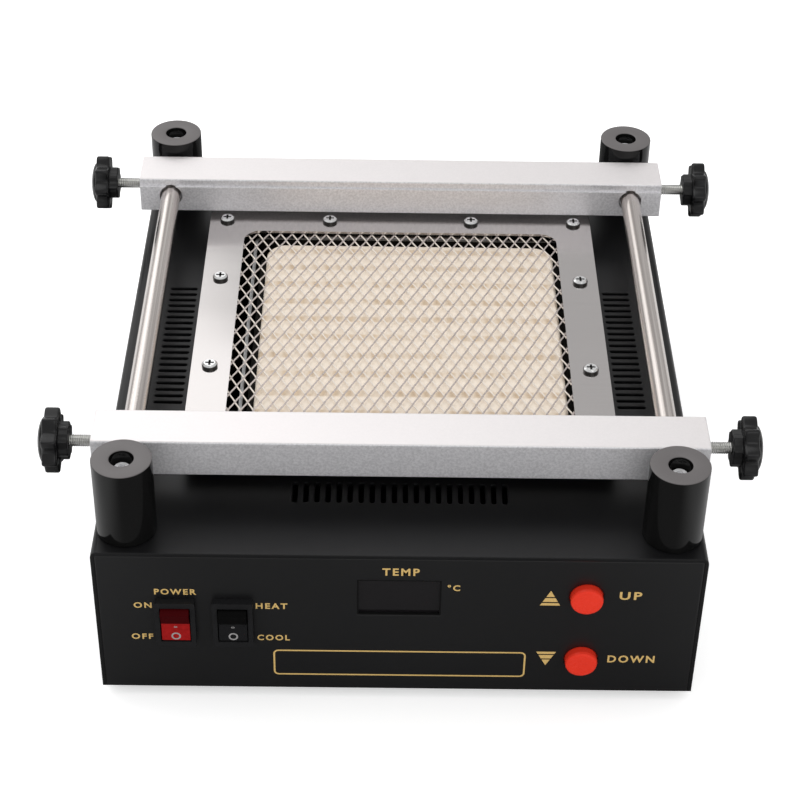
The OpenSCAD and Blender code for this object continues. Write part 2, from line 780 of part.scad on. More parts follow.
// Rocker switch housing: bezel on the panel, body through it, pocket for the rocker
module switch_housing(x) {
    pocket_h = 2 * rock_r + eps;
    color([0.04, 0.04, 0.04]) translate([x, front_y, switch_z]) difference() {
        union() {
            rotate([90, 0, 0]) slab(switch_w, switch_h, switch_lip, 0.8);
            translate([-switch_body_w / 2, 0, -switch_body_h / 2])
                cube([switch_body_w, switch_deep, switch_body_h]);
        }
        translate([-rock_w / 2 - eps, -switch_lip - 1, -pocket_h / 2])
            cube([rock_w + 2 * eps, 12 + switch_lip, pocket_h]);
    }
}

// Rocker at rest with its lower half pressed in; it turns on a line along X at the panel,
// and its ends are arcs about that line
module rocker(x, tint) {
    r = rock_r;
    a = asin(rock_out / r);
    steps = [for (i = [0 : 4]) a * (1 - i / 4)];
    color(tint) translate([x, rock_y, switch_z]) rotate([rock_tilt, 0, 0]) rotate([90, 0, 90])
        linear_extrude(height = rock_w, center = true)
            polygon(concat([for (t = steps) [-r * sin(t), -r * cos(t)]], [[5, -3], [6.5, 0], [5, 3]],
                           [for (i = [4 : -1 : 0]) [-r * sin(steps[i]), r * cos(steps[i])]],
                           [[-rock_out + 1.3, 0]]));
}

// Tab terminals at the back of both switches
module switch_terminals() {
    color([0.80, 0.70, 0.42]) for (x = [power_x, mode_x], z = [-5, 5])
        translate([x - tab_w / 2, front_y + switch_deep, switch_z + z - tab_t / 2])
            cube([tab_w, tab_long, tab_t]);
}

// Appliance inlet with a keyed recess, flanged on the rear wall
module mains_inlet() {
    color([0.05, 0.05, 0.05]) translate([inlet_x, half_d, inlet_z]) difference() {
        union() {
            rotate([-90, 0, 0]) slab(inlet_w, inlet_h, inlet_lip, 4);
            translate([-inlet_body_w / 2, -inlet_deep, -inlet_body_h / 2])
                cube([inlet_body_w, inlet_deep, inlet_body_h]);
        }
        translate([0, inlet_lip + 1, 0]) rotate([90, 0, 0]) linear_extrude(height = 20)
            polygon([[-12, -8], [12, -8], [12, 4], [8, 8], [-8, 8], [-12, 4]]);
        for (x = [-1, 1] * inlet_screw_x)
            translate([x, 0, 0]) rotate([90, 0, 0]) cylinder(r = m3 + clear, h = 20, center = true);
        for (p = blades) translate([p[0] - blade_w / 2 - 0.2, -inlet_deep - 5, p[1] - blade_h / 2 - 0.2])
            cube([blade_w + 0.4, 20, blade_h + 0.4]);
    }
}

// Three contact blades of the inlet
module inlet_pins() {
    color([0.80, 0.80, 0.78]) for (p = blades)
        translate([inlet_x + p[0] - blade_w / 2, half_d - blade_long - 2, inlet_z + p[1] - blade_h / 2])
            cube([blade_w, blade_long, blade_h]);
}

module inlet_screws() {
    color(steel) for (x = [-1, 1] * inlet_screw_x)
        translate([inlet_x + x, half_d + inlet_lip, inlet_z]) rotate([-90, 0, 0])
            cross_screw(m3, m3_head_r, m3_head_h, inlet_lip + pan_t + 5);
}

base_pan();
top_cover();
cover_screws();
foot(-1, -1);  // foot_front_left
foot(1, -1);  // foot_front_right
foot(-1, 1);  // foot_rear_left
foot(1, 1);  // foot_rear_right
foot_screws();
post(-1, -1);  // post_front_left
post(1, -1);  // post_front_right
post(-1, 1);  // post_rear_left
post(1, 1);  // post_rear_right
post_screws();
guide_rod(-1);  // guide_rod_left
guide_rod(1);  // guide_rod_right
clamp_bar(-1);  // front_clamp_bar
clamp_bar(1);  // rear_clamp_bar
stud(-1, -1);  // stud_front_left
stud(1, -1);  // stud_front_right
stud(-1, 1);  // stud_rear_left
stud(1, 1);  // stud_rear_right
knob(-1, -1);  // knob_front_left
knob(1, -1);  // knob_front_right
knob(-1, 1);  // knob_rear_left
knob(1, 1);  // knob_rear_right
heater_collar();
bezel_plate();
guard_mesh();
bezel_screws();
ceramic_heater();
insulation_pad();
heater_tray();
tray_brackets();
heater_terminals();
terminal_block();
thermocouple();
fan_frame();
fan_rotor();
fan_screws();
control_board();
board_standoffs();
board_screws();
display_module();
display_window();
tact_switches();
push_button(button_up_z);  // up_button
push_button(button_down_z);  // down_button
triac();
heatsink();
transformer_core();
transformer_coil();
transformer_screws();
switch_housing(power_x);  // power_switch_housing
rocker(power_x, [0.65, 0.08, 0.07]);  // power_rocker
switch_housing(mode_x);  // mode_switch_housing
rocker(mode_x, [0.05, 0.05, 0.05]);  // mode_rocker
switch_terminals();
mains_inlet();
inlet_pins();
inlet_screws();
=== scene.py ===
import math

import bmesh
import bpy
import numpy as np
from mathutils import Matrix, Vector


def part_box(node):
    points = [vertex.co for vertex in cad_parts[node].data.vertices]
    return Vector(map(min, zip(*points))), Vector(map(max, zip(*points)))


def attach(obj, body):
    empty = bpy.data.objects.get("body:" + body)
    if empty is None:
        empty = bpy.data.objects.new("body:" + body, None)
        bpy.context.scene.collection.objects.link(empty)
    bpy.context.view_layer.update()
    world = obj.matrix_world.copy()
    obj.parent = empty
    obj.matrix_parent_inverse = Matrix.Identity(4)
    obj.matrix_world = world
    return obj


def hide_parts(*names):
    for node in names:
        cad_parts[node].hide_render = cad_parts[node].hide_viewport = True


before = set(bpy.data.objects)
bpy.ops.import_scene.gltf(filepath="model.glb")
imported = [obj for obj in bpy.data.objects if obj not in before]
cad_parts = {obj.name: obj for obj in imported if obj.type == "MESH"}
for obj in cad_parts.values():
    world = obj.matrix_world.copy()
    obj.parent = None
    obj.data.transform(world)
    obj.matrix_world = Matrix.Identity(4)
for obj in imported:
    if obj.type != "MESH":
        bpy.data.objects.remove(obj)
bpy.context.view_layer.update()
mm = 0.001

# The studio: a white sweep of floor under one broad soft lamp overhead and a weaker one in front. The camera
# looks down on the control panel. Reflections see a dim strip along the floor's middle, as if the room before
# the object were dark.
scene = bpy.context.scene
scene.view_settings.view_transform = "Standard"


class Wire:
    """One socket of a node tree. Sums and products of wires and numbers add Math nodes."""

    def __init__(self, tree, socket=None):
        self.tree, self.socket = tree, socket

    def node(self, kind, settings=None, sockets=None, out=0):
        """Adds a node: its settings first, then the values or links of its sockets."""
        made = self.tree.nodes.new(kind)
        for key, value in (settings or {}).items():
            setattr(made, key, value)
        for key, value in (sockets or {}).items():
            if isinstance(value, Wire):
                self.tree.links.new(value.socket, made.inputs[key])
            else:
                made.inputs[key].default_value = value
        return Wire(self.tree, made.outputs[out])

    def math(self, operation, first, second=0.0):
        return self.node("ShaderNodeMath", {"operation": operation}, {0: first, 1: second})

    def __add__(self, other):
        return self.math("ADD", self, other)

    def __sub__(self, other):
        return self.math("SUBTRACT", self, other)

    def __rsub__(self, other):
        return self.math("SUBTRACT", other, self)

    def __mul__(self, other):
        return self.math("MULTIPLY", self, other)

    __radd__ = __add__
    __rmul__ = __mul__

    def along(self, axis):
        """One coordinate of a vector, with 0, 1 and 2 for x, y and z."""
        return self.node("ShaderNodeSeparateXYZ", None, {0: self}, out=axis)

    def above(self, low, high):
        """0 below low, 1 above high, and a smooth step between."""
        return self.node("ShaderNodeMapRange", {"interpolation_type": "SMOOTHSTEP"},
                         {"Value": self, "From Min": low, "From Max": high})


def by_ray(tree, seen, mirrored, cast):
    """One strength for rays from the camera and through glass, one in reflections, and one for the light
    that is cast on things."""
    outputs = tree.node("ShaderNodeLightPath").socket.node.outputs
    camera_ray, mirror_ray, glass_ray = (Wire(tree.tree, outputs[name]) for name in
                                         ("Is Camera Ray", "Is Glossy Ray", "Is Transmission Ray"))
    direct = tree.math("MAXIMUM", camera_ray, glass_ray)
    return direct * (seen - cast) + mirror_ray * (mirrored - cast) + cast


world = bpy.data.worlds.new("studio_air")
scene.world = world
world.use_nodes = True
air = Wire(world.node_tree)
ambient, dim_room = 0.78, 0.53
background = world.node_tree.nodes["Background"]
background.inputs["Color"].default_value = (1.0, 1.0, 1.0, 1.0)
world.node_tree.links.new(by_ray(air, 1.0, dim_room, ambient).socket, background.inputs["Strength"])

floor_half, floor_glow = 4.0, 0.48
floor_white, floor_dim = (0.9, 0.9, 0.9, 1.0), (0.2, 0.2, 0.2, 1.0)
strip_half, strip_fade = 0.10, 0.14
floor_mesh = bpy.data.meshes.new("floor")
floor_mesh.from_pydata([(-floor_half, -floor_half, 0), (floor_half, -floor_half, 0),
                        (floor_half, floor_half, 0), (-floor_half, floor_half, 0)], [], [(0, 1, 2, 3)])
floor = bpy.data.objects.new("floor", floor_mesh)
scene.collection.objects.link(floor)
floor_paint = bpy.data.materials.new("floor_white")
floor_paint.use_nodes = True
floor_wires = Wire(floor_paint.node_tree)
off_centre = floor_wires.math("ABSOLUTE", floor_wires.node("ShaderNodeTexCoord", out=3).along(0))
in_strip = 1 - off_centre.above(strip_half, strip_half + strip_fade)
white, dim = (floor_wires.node("ShaderNodeBsdfDiffuse", None, {"Color": colour})
              for colour in (floor_white, floor_dim))
matte = floor_wires.node("ShaderNodeMixShader", None,
                         {0: by_ray(floor_wires, 0.0, in_strip, 0.0), 1: white, 2: dim})
glow = floor_wires.node("ShaderNodeEmission", None, {"Strength": by_ray(floor_wires, floor_glow, 0.0, 0.0)})
lit = floor_wires.node("ShaderNodeAddShader", None, {0: matte, 1: glow})
floor_paint.node_tree.links.new(lit.socket, floor_paint.node_tree.nodes["Material Output"].inputs["Surface"])
floor_mesh.materials.append(floor_paint)


def soft_lamp(name, place, target, width, depth, power):
    """A rectangular lamp of the given size that faces a point."""
    lamp = bpy.data.lights.new(name, "AREA")
    lamp.shape, lamp.size, lamp.size_y, lamp.energy = "RECTANGLE", width, depth, power
    holder = bpy.data.objects.new(name, lamp)
    holder.location = place
    holder.rotation_euler = (Vector(target) - Vector(place)).to_track_quat("-Z", "Y").to_euler()
    scene.collection.objects.link(holder)


soft_lamp("overhead_lamp", place=(-0.82, 1.05, 1.25), target=(-0.6, 0.8, 0),
          width=1.7, depth=2.6, power=13.5)
soft_lamp("front_lamp", place=(0.5, -1.3, 1.2), target=(0, 0, 0.05), width=1.2, depth=0.9, power=2.7)

camera_place = Vector((-0.00736, -0.67413, 0.56739))
camera_pitch, camera_yaw, camera_roll = math.radians(37.786), math.radians(0.66), math.radians(1.089)
ahead = Vector((math.sin(camera_yaw) * math.cos(camera_pitch), math.cos(camera_yaw) * math.cos(camera_pitch),
                -math.sin(camera_pitch)))
level = Vector((math.cos(camera_yaw), -math.sin(camera_yaw), 0))
upright = level.cross(ahead)
side = level * math.cos(camera_roll) + upright * math.sin(camera_roll)
top = upright * math.cos(camera_roll) - level * math.sin(camera_roll)
lens = bpy.data.cameras.new("camera")
lens.lens, lens.sensor_width = 92.44, 36.0
camera = bpy.data.objects.new("camera", lens)
camera.matrix_world = Matrix(((side.x, top.x, -ahead.x, camera_place.x),
                              (side.y, top.y, -ahead.y, camera_place.y),
                              (side.z, top.z, -ahead.z, camera_place.z),
                              (0, 0, 0, 1)))
scene.collection.objects.link(camera)
scene.camera = camera


# The case: a base pan folded from sheet steel, with the control panel and the rear wall in one piece with
# the floor, and a top cover bent into a U. Both are sprayed satin black, with a faint orange-peel skin.
def finish(name, rough=0.5, metal=0.0, shine=0.5):
    """A Principled material with its even values set, its shader, and a wire of Object coordinates."""
    made = bpy.data.materials.new(name)
    made.use_nodes = True
    shader = made.node_tree.nodes["Principled BSDF"]
    for key, value in (("Roughness", rough), ("Metallic", metal), ("Specular IOR Level", shine)):
        shader.inputs[key].default_value = value
    return made, shader, Wire(made.node_tree).node("ShaderNodeTexCoord", out=3)


def noise(place, scale, detail=2.0, rough=0.5):
    """Even noise about 1/scale metres across, from 0 to 1."""
    return place.node("ShaderNodeTexNoise", None,
                      {"Vector": place, "Scale": scale, "Detail": detail, "Roughness": rough})


def feed(shader, socket, wire):
    """Links a wire to one of the shader's own sockets."""
    wire.tree.links.new(wire.socket, shader.inputs[socket])


def bump(shader, height, strength, distance, edge=0.0):
    """Roughens the shading normal by a height wire, with the given depth in metres. An edge radius also
    softens the edges, as a fold or a broken corner does."""
    sockets = {"Height": height, "Strength": strength, "Distance": distance}
    if edge:
        sockets["Normal"] = height.node("ShaderNodeBevel", {"samples": 4}, {"Radius": edge})
    feed(shader, "Normal", height.node("ShaderNodeBump", None, sockets))


def shade(place, mask, dark, pale):
    """A colour that runs from dark to pale, each a colour or a wire, as the mask goes from 0 to 1."""
    ends = [end if isinstance(end, Wire) else (*end, 1.0) for end in (dark, pale)]
    return place.node("ShaderNodeMix", {"data_type": "RGBA"},
                      {"Factor": mask, "A": ends[0], "B": ends[1]}, out=2)


def dress(material, *nodes):
    """Gives CAD nodes a material."""
    for node in nodes:
        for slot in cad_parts[node].material_slots:
            slot.material = material


for name, gloss, node in (("panel_paint", 0.54, "base_pan"), ("cover_paint", 0.30, "top_cover")):
    paint, shader, place = finish(name, shine=gloss)
    feed(shader, "Roughness", noise(place, 60.0, 3.0) * 0.10 + 0.30)
    feed(shader, "Base Color", shade(place, noise(place, 25.0, 4.0), (0.0058, 0.0058, 0.0064),
                                     (0.0085, 0.0085, 0.0092)))
    bump(shader, noise(place, 900.0, 2.0), 0.12, 0.05 * mm, 0.9 * mm)
    dress(paint, node)

# The screws: zinc-plated steel with cross recesses, and nuts below. Those of the bezel plate show from
# above, with bright crowns over a dark lower edge, and those of the feet and the fan from below. That dark
# lower edge is painted: painted shade and painted dark reflection under the crown.
zinc, shader, place = finish("bright_zinc", metal=1.0)
feed(shader, "Roughness", noise(place, 1400.0, 3.0) * 0.18 + 0.16)
feed(shader, "Base Color", shade(place, noise(place, 700.0), (0.66, 0.65, 0.64), (0.86, 0.86, 0.88)))
dress(zinc, "cover_screws", "foot_screws", "fan_screws", "board_screws", "transformer_screws",
      "inlet_screws")
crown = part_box("bezel_screws")[1].z
crowned, shader, place = finish("crowned_zinc", metal=1.0)
# Painted shade and reflection: the head is coloured near-black below its crown.
painted_dark_edge = place.along(2).above(crown - 0.75 * mm, crown - 0.45 * mm)
feed(shader, "Base Color", shade(place, painted_dark_edge, (0.05, 0.048, 0.046), (0.92, 0.92, 0.92)))
feed(shader, "Roughness", noise(place, 1400.0, 3.0) * 0.12 + 0.2)
dress(crowned, "bezel_screws")


# The feet: four moulded rubber discs, each sunk in the middle for its screw.
def mottle(shader, place, colour, scale):
    """Feeds a colour that wanders a little either way, in patches about 1/scale metres across."""
    deep, light = (np.array(colour) * share for share in (0.82, 1.16))
    feed(shader, "Base Color", shade(place, noise(place, scale, 3.0), deep, light))


rubber, shader, place = finish("foot_rubber", shine=0.3)
mottle(shader, place, (0.020, 0.020, 0.021), 300.0)
feed(shader, "Roughness", noise(place, 500.0, 3.0) * 0.2 + 0.62)
bump(shader, noise(place, 2200.0, 3.0), 0.25, 0.05 * mm)
dress(rubber, "foot_front_left", "foot_front_right", "foot_rear_left", "foot_rear_right")


# The corner posts: turned black plastic columns with a polished skin, a rounded rim and a sunk hole, down
# which the dull zinc fixing screw goes. A rod end sits in the inner side of each.
def stretched(place, stretch):
    """The same coordinates scaled along each axis, for streaks."""
    return place.node("ShaderNodeMapping", None, {"Vector": place, "Scale": stretch})


def extents(node):
    """A CAD node's lowest and highest corners, as arrays."""
    return tuple(np.array(corner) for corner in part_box(node))


def quads(points, wrap_rows=False, wrap_columns=False):
    """The faces between neighbouring points of a grid; a wrapped side joins its last line to its first."""
    rows, columns = points.shape[:2]
    row = np.arange(rows if wrap_rows else rows - 1)[:, None]
    column = np.arange(columns if wrap_columns else columns - 1)[None, :]
    below, beside = (row + 1) % rows, (column + 1) % columns
    corners = [row * columns + column, row * columns + beside,
               below * columns + beside, below * columns + column]
    return np.stack([np.broadcast_to(c, (row.size, column.size)) for c in corners], -1).reshape(-1, 4)


def weld(mesh, sliver=0.0):
    """Merges doubled points, drops edges and faces as small as a sliver, and turns the faces outward."""
    work = bmesh.new()
    work.from_mesh(mesh)
    bmesh.ops.remove_doubles(work, verts=work.verts, dist=1e-7)
    if sliver:
        bmesh.ops.dissolve_degenerate(work, edges=work.edges, dist=sliver)
    bmesh.ops.recalc_face_normals(work, faces=work.faces)
    work.to_mesh(mesh)
    work.free()


def piece(name, shells, material, body, sharp=35.0, marks=None):
    """One mesh from several grids, each given with the sides that wrap, which rides on a body. Marks are
    numbers for the points, which the material reads as the attribute named mark."""
    points, faces, count = [], [], 0
    for grid, wrap_rows, wrap_columns in shells:
        points.append(grid.reshape(-1, 3))
        faces.append(quads(grid, wrap_rows, wrap_columns) + count)
        count += len(points[-1])
    mesh = bpy.data.meshes.new(name)
    mesh.from_pydata(np.concatenate(points), [], np.concatenate(faces))
    if marks is not None:
        mesh.attributes.new("mark", "FLOAT", "POINT").data.foreach_set("value", marks)
    weld(mesh, 1e-8)
    mesh.shade_smooth()
    mesh.set_sharp_from_angle(angle=math.radians(sharp))
    mesh.materials.append(material)
    made = bpy.data.objects.new(name, mesh)
    scene.collection.objects.link(made)
    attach(made, body)
    return made


def arc(centre, radius, start, end, count=6):
    """Points of a circular arc in a profile, from one angle to another, in degrees."""
    angle = np.radians(np.linspace(start, end, count))
    return np.stack([centre[0] + radius * np.cos(angle), centre[1] + radius * np.sin(angle)], -1)


def turned(profile, centre, along=(0, 0, 1), turns=72, lobe=None):
    """A profile of (radius, height) carried round an axis: the point at angle a is the centre plus radius
    times (cos a, sin a) across the axis plus height along it. A lobe function scales the radius by angle
    and row."""
    profile = np.asarray(profile, float)
    angle = np.linspace(0, 2 * math.pi, turns, endpoint=False)
    axis = np.array(along, float)
    across = np.array([0.0, 1.0, 0.0]) if abs(axis[0]) > 0.5 else np.array([1.0, 0.0, 0.0])
    third = np.cross(axis, across)
    radius = profile[:, :1] * np.ones(turns)
    if lobe is not None:
        radius = radius * lobe(angle, profile)
    ring = np.cos(angle)[None, :, None] * across + np.sin(angle)[None, :, None] * third
    return np.asarray(centre) + radius[..., None] * ring + profile[:, None, 1:] * axis


sunk_zinc, shader, place = finish("sunk_zinc", metal=0.25)
mottle(shader, place, (0.86, 0.86, 0.87), 500.0)
feed(shader, "Roughness", noise(place, 500.0, 3.0) * 0.2 + 0.3)
dress(sunk_zinc, "post_screws")
post_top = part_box("post_front_left")[1].z
post_plastic, shader, place = finish("post_plastic", shine=0.28)
shader.inputs["Coat Roughness"].default_value = 0.3
# Painted light: the flat top is coloured a paler grey than the sides, as lit from above. It also gets a coat
# and more roughness.
painted_lit_post_top = place.along(2).above(post_top - 0.3 * mm, post_top - 0.1 * mm)
feed(shader, "Roughness", noise(place, 300.0, 3.0) * 0.06 + 0.07 + painted_lit_post_top * 0.34)
feed(shader, "Coat Weight", painted_lit_post_top * 0.5)
feed(shader, "Base Color", shade(place, painted_lit_post_top, (0.005, 0.005, 0.005), (0.125, 0.115, 0.115)))
bump(shader, noise(stretched(place, (60.0, 60.0, 2200.0)), 1.0, 2.0), 0.05, 0.02 * mm)
rim, lip, chamfer = 0.4 * mm, 0.5 * mm, 0.4 * mm
sink_radius, sink_depth, bore_radius = 4.35 * mm, 7 * mm, 2.25 * mm
for corner in ("front_left", "front_right", "rear_left", "rear_right"):
    low, high = extents("post_" + corner)
    radius, height = (high[0] - low[0]) / 2, high[2] - low[2]
    ledge = height - sink_depth
    wall = np.concatenate([[(sink_radius, ledge), (sink_radius, height - lip)],
                           arc((sink_radius + lip, height - lip), lip, 180, 90, 4),
                           arc((radius - rim, height - rim), rim, 90, 0, 5),
                           [(radius, chamfer), (radius - chamfer, 0)],
                           [(bore_radius, 0), (bore_radius, ledge)]])
    foot = ((low[0] + high[0]) / 2, (low[1] + high[1]) / 2, low[2])
    column = piece("post_" + corner + "_turned", [(turned(wall, foot), True, True)], post_plastic, "chassis")
    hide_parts("post_" + corner)

# The guide rods: drawn and plated steel, streaked along their length, held at both ends in the posts. Their
# lengthwise streaks are partly drawing marks and partly painted reflection, and their warm tint is painted
# reflection of the cream emitter.
rod_plate, shader, place = finish("rod_plate", metal=1.0)
streaks_and_reflection = noise(stretched(place, (700.0, 4.0, 700.0)), 1.0, 3.0).above(0.3, 0.7)
feed(shader, "Base Color", shade(place, streaks_and_reflection, (0.50, 0.457, 0.433), (0.82, 0.765, 0.73)))
feed(shader, "Roughness", streaks_and_reflection * 0.10 + 0.17)
dress(rod_plate, "guide_rod_left", "guide_rod_right")

# The clamp bars: aluminium milled to section and blasted to a fine grain. Their tops are painted paler and
# more metallic than the sides: painted light, as from the lamp above.
# A step along the inner top edge takes the board's edge, and the rods pass through a bore near each end.
bar_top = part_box("front_clamp_bar")[1].z
bar_alloy, shader, place = finish("bar_alloy")
grain = noise(place, 1000.0, 4.0, 0.7).above(0.3, 0.7)
feed(shader, "Roughness", grain * 0.12 + 0.40)
# Painted light: the top face gets a paler colour than the blasted sides.
painted_lit_bar_top = place.along(2).above(bar_top - 0.3 * mm, bar_top - 0.1 * mm)
blasted = shade(place, grain, (0.69, 0.68, 0.70), (0.90, 0.89, 0.91))
bright = shade(place, grain, (0.91, 0.875, 0.875), (0.94, 0.905, 0.905))
feed(shader, "Base Color", shade(place, painted_lit_bar_top, blasted, bright))
feed(shader, "Metallic", painted_lit_bar_top * 0.26 + 0.54)
bump(shader, grain, 0.2, 0.05 * mm, 0.5 * mm)
dress(bar_alloy, "front_clamp_bar", "rear_clamp_bar")

# The clamping screws: a rolled-thread stud of bright steel, moulded into a black lobed knob. Each goes into
# the end of a bar and bears on the rod there.
thread_pitch, thread_depth, point_depth, stud_slack = 0.8 * mm, 0.36 * mm, 0.5 * mm, 0.15 * mm
knob_lobes, scallop, lobe_power, hub_share = 8, 2.6 * mm, 0.7, 0.34
rim_start, rim_span, hub_core, hub_end = 8.4 * mm, 3.0 * mm, 5 * mm, 4 * mm
hub_radius, hub_height, dome, dome_inset = 7.1 * mm, 3.6 * mm, 2.4 * mm, 3.4 * mm
hub_round, neck_round, rim_round = 0.6 * mm, 0.5 * mm, 0.9 * mm
knob_turns = {"front_left": 32.3, "front_right": 19.2, "rear_left": 10.0, "rear_right": 30.0}


def threaded(start, along, radius, length, turns=24):
    """A rolled thread: the radius at angle a and distance t along the axis is the outer radius less a
    triangle wave of t / pitch - a / full turn, cut flat at crest and root, so that the crests climb one pitch
    for each turn. Over the first pitch the radius also falls evenly to a blunt point."""
    steps = int(length / thread_pitch * 6) + 1
    t = np.linspace(0, length, steps)
    angle = np.linspace(0, 2 * math.pi, turns, endpoint=False)
    phase = (t[:, None] / thread_pitch - angle[None, :] / (2 * math.pi)) % 1.0
    depth = thread_depth * np.clip(1.25 * np.abs(2 * phase - 1) - 0.125, 0, 1)
    depth += point_depth * np.clip(1 - t[:, None] / thread_pitch, 0, 1)
    axis = np.array(along, float)
    across, third = np.array([0.0, 1.0, 0.0]), np.cross(axis, [0.0, 1.0, 0.0])
    ring = np.cos(angle)[None, :, None] * across + np.sin(angle)[None, :, None] * third
    body = np.asarray(start) + (radius - depth)[..., None] * ring + t[:, None, None] * axis
    ends = [np.repeat((np.asarray(start) + t[i] * axis)[None, None], turns, 1) for i in (0, -1)]
    return np.concatenate([ends[0], body, ends[1]])


def lobed(angle, profile, turn):
    """Full radius on the lobes and less between them by the scallop's depth, all of it on the rim and a
    third of it on the hub. The share is a raised cosine of the angle from a lobe times the count of lobes,
    to a power that keeps the lobes narrow."""
    valley = (0.5 - 0.5 * np.cos(knob_lobes * (angle - math.radians(turn)))) ** lobe_power
    share = np.clip((profile[:, 0] - rim_start) / rim_span, 0, 1)
    on_hub = (profile[:, 0] > hub_core) & (profile[:, 1] < hub_end)
    share = np.maximum(share, hub_share * on_hub)
    return 1 - share[:, None] * valley[None, :] * scallop / np.maximum(profile[:, :1], 1 * mm)


stud_steel, shader, place = finish("stud_steel", metal=1.0)
mottle(shader, place, (0.68, 0.68, 0.655), 900.0)
feed(shader, "Roughness", noise(place, 1600.0, 2.0) * 0.15 + 0.15)
knob_plastic, shader, place = finish("knob_plastic", shine=0.36)
mottle(shader, place, (0.007, 0.007, 0.0075), 400.0)
feed(shader, "Roughness", noise(place, 700.0, 3.0) * 0.16 + 0.16)
bump(shader, noise(place, 1800.0, 2.0), 0.12, 0.04 * mm)
for bar in ("front", "rear"):
    for hand, way in (("left", -1), ("right", 1)):
        corner = bar + "_" + hand
        low, high = extents("stud_" + corner)
        inner = low[0] if way > 0 else high[0]
        middle = np.array([inner, (low[1] + high[1]) / 2, (low[2] + high[2]) / 2])
        thread = threaded(middle, (way, 0, 0), (high[1] - low[1]) / 2 - stud_slack, high[0] - low[0])
        stud = piece("stud_" + corner + "_thread", [(thread, False, True)], stud_steel,
                     corner + "_screw", sharp=60.0)
        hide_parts("stud_" + corner)
        low, high = extents("knob_" + corner)
        hub = np.array([low[0] if way > 0 else high[0], middle[1], middle[2]])
        radius, face = (high[2] - low[2]) / 2, high[0] - low[0] - dome
        sweep = np.linspace(0, math.pi / 2, 9)
        cap = np.stack([(radius - dome_inset) * np.cos(sweep), face + dome * np.sin(sweep)], -1)
        outline = np.concatenate([
            [(0, 0)], arc((hub_radius - hub_round, hub_round), hub_round, -90, 0, 4),
            arc((hub_radius + neck_round, hub_height - neck_round), neck_round, 180, 90, 3),
            arc((radius - rim_round, hub_height + rim_round), rim_round, -90, 0, 5),
            arc((radius - rim_round, face - rim_round), rim_round, 0, 90, 5), cap])
        grip = turned(outline, hub, (way, 0, 0), 160,
                      lambda angle, rows: lobed(angle, rows, knob_turns[corner]))
        knob = piece("knob_" + corner + "_grip", [(grip, False, True)], knob_plastic,
                     corner + "_screw", sharp=45.0)
        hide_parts("knob_" + corner)

# The heater's metalwork: a collar on the cover, and on it a polished stainless plate with a round-cornered
# window. The thin plate isn't quite flat, so its reflections waver.
stainless, shader, place = finish("stainless", metal=1.0)
streak = noise(stretched(place, (40.0, 2600.0, 2600.0)), 1.0, 3.0)
feed(shader, "Roughness", streak * 0.05 + 0.14)
feed(shader, "Base Color", shade(place, streak, (0.64, 0.61, 0.60), (0.70, 0.67, 0.66)))
bump(shader, noise(place, 16.0, 1.0), 0.5, 1.0 * mm)
dress(stainless, "bezel_plate", "tray_brackets", "thermocouple")
tray_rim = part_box("heater_tray")[1].z
tray_steel, shader, place = finish("dark_tray_steel", metal=1.0)
# The tray is near-black, with a thin paler band along its rim.
rim_band = place.along(2).above(tray_rim - 0.4 * mm, tray_rim - 0.1 * mm)
feed(shader, "Base Color", shade(place, rim_band, (0.018, 0.017, 0.016), (0.38, 0.38, 0.38)))
feed(shader, "Roughness", noise(place, 150.0, 3.0) * 0.2 + 0.36)
dress(tray_steel, "heater_tray")
collar_steel, shader, place = finish("collar_steel", metal=1.0)
mottle(shader, place, (0.05, 0.05, 0.05), 150.0)
feed(shader, "Roughness", noise(place, 200.0, 3.0) * 0.2 + 0.32)
dress(collar_steel, "heater_collar")

# The guard mesh: one steel sheet, slit and pulled open into diamonds, so that each strand lies tilted. Its
# plain margin is gripped between the plate and the collar.
window_half, tuck, margin_gap = 66.8 * mm, 2 * mm, 1.5 * mm
short_way, long_way, strand_width, strand_depth = 4.9 * mm, 10.3 * mm, 0.62 * mm, 0.2 * mm
strand_tilt = math.radians(-8)
margin_round, margin_half = 6 * mm, 0.5 * mm


def rounded_loop(width, depth, radius, corner=8):
    """A closed loop of points round a rectangle whose corners are quarter circles, as (x, y) pairs."""
    angle = np.radians(np.linspace(0, 90, corner))
    centres = np.array([[1, 1], [-1, 1], [-1, -1], [1, -1]]) * [width / 2 - radius, depth / 2 - radius]
    turn = np.radians([0, 90, 180, 270])[:, None] + angle[None, :]
    loop = centres[:, None, :] + radius * np.stack([np.cos(turn), np.sin(turn)], -1)
    return loop.reshape(-1, 2)


def framed(width, depth, radius, section, corner=8):
    """A section of (outset, height) carried round a rounded rectangle: each row is the loop grown by its
    outset."""
    rows = [np.concatenate([rounded_loop(width + 2 * o, depth + 2 * o, max(radius + o, 1e-6), corner),
                            np.full((4 * corner, 1), h)], 1) for o, h in section]
    return np.stack(rows)


